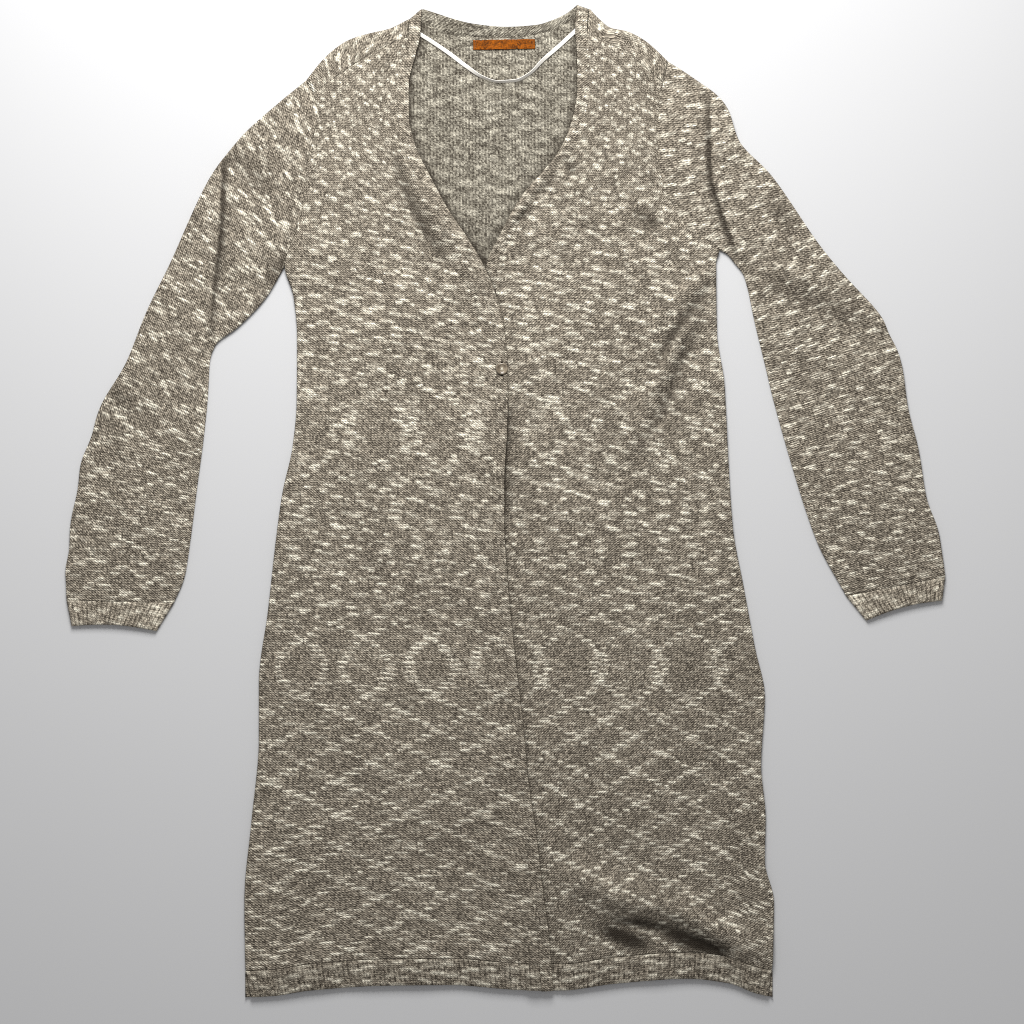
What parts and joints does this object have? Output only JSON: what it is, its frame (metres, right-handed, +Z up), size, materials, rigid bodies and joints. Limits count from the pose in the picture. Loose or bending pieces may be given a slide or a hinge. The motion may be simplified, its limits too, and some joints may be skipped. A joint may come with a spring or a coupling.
{
  "type": "duster cardigan",
  "caption": "Long knitted duster cardigan with a V front, ribbed hem and cuffs, laid flat and buttoned once.",
  "frame": {"origin": "under the middle of the garment as it lies, on the surface", "axes": "+X to the right as the laid garment is seen, which is the wearer's left; +Y from the hem to the neck; +Z up from the surface"},
  "size_m": [0.9669, 1.0908, 0.0123],
  "materials": {
    "slub_knit": "reverse jersey in a taupe yarn with paler slubs, soft and matte",
    "rib_knit": "one by one rib in the same taupe yarn, matte",
    "label_leather": "orange brown suede, bare",
    "satin_tape": "white satin ribbon, slight sheen",
    "button_resin": "taupe resin, polished"
  },
  "bodies": {
    "root": {"back": "slub_knit", "hem_back": "rib_knit", "neckband_back": "slub_knit", "front_right": "slub_knit", "hem_front_right": "rib_knit", "front_left": "slub_knit", "hem_front_left": "rib_knit", "band_right": "slub_knit", "band_left": "slub_knit", "sleeve_right": "slub_knit", "sleeve_left": "slub_knit", "cuff_right": "rib_knit", "cuff_left": "rib_knit", "neck_label": "label_leather", "hanger_tape": "satin_tape", "button": "button_resin"}
  },
  "joints": []
}
